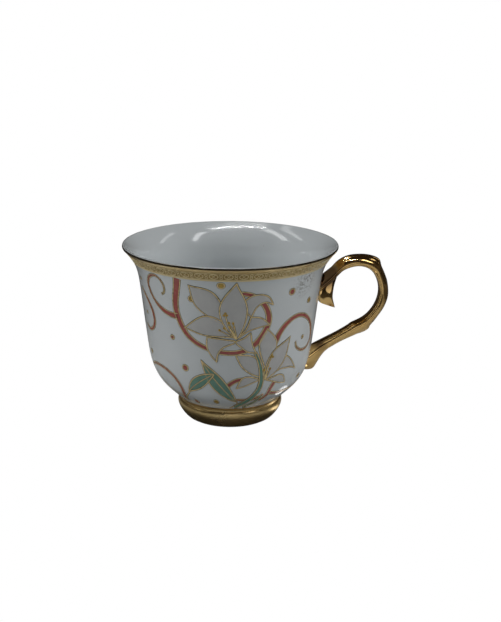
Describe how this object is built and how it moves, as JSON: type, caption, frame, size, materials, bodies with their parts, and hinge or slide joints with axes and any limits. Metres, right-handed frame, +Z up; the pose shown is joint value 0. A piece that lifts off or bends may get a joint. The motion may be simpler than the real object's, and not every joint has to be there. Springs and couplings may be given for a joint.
{
  "type": "teacup",
  "caption": "Flared porcelain teacup with a gilded loop handle, a gold rim band and foot ring, and an enamelled flower and scroll design.",
  "frame": {"origin": "the cup's axis at the plane it stands on", "axes": "+Z up along the cup's axis, +X from the axis out through the middle of the handle, -Y towards the front of the design"},
  "size_m": [0.1141, 0.0902, 0.076],
  "materials": {
    "porcelain": "white body under a clear gloss glaze",
    "bright_gold": "bright liquid gold fired over the glaze, mirror gloss",
    "satin_gold": "satin gold film over the glaze",
    "enamel": "raised on-glaze enamel colours with gold outlines"
  },
  "bodies": {
    "root": {"bowl": "porcelain", "foot_ring": "porcelain", "handle": "bright_gold", "upper_handle_joint": "bright_gold", "lower_handle_joint": "bright_gold", "lip_gilding": "satin_gold", "rim_band": "satin_gold", "foot_gilding": "satin_gold", "front_transfer": "enamel", "back_transfer": "enamel"}
  },
  "joints": []
}
